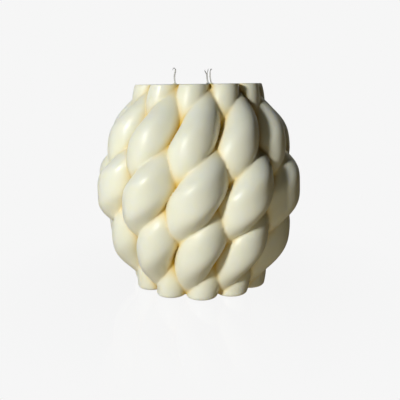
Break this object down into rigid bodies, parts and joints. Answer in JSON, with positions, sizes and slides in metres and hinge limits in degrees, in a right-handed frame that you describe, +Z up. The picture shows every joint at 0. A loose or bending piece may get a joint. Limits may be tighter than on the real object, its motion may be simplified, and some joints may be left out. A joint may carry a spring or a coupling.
{
  "type": "moulded three-wick candle",
  "caption": "Barrel-shaped pillar candle of ivory wax with a relief of upright twisted ropes, flat top and base, and cotton wicks held by metal tabs in the base.",
  "frame": {"origin": "middle of the flat base, on the axis of the barrel", "axes": "+Z up along the axis of the barrel, -Y towards the side that the picture shows, +X to the right of that side"},
  "size_m": [0.1498, 0.1487, 0.1566],
  "materials": {
    "wax": "smooth ivory wax, satin to glossy, translucent in the grooves",
    "wick_cotton": "braided undyed cotton, lightly waxed",
    "tab_metal": "pressed tinned sheet steel"
  },
  "bodies": {
    "root": {"wax_body": "wax", "wick_left": "wick_cotton", "wick_front": "wick_cotton", "wick_rear": "wick_cotton", "sustainer_left": "tab_metal", "sustainer_front": "tab_metal", "sustainer_rear": "tab_metal"}
  },
  "joints": []
}
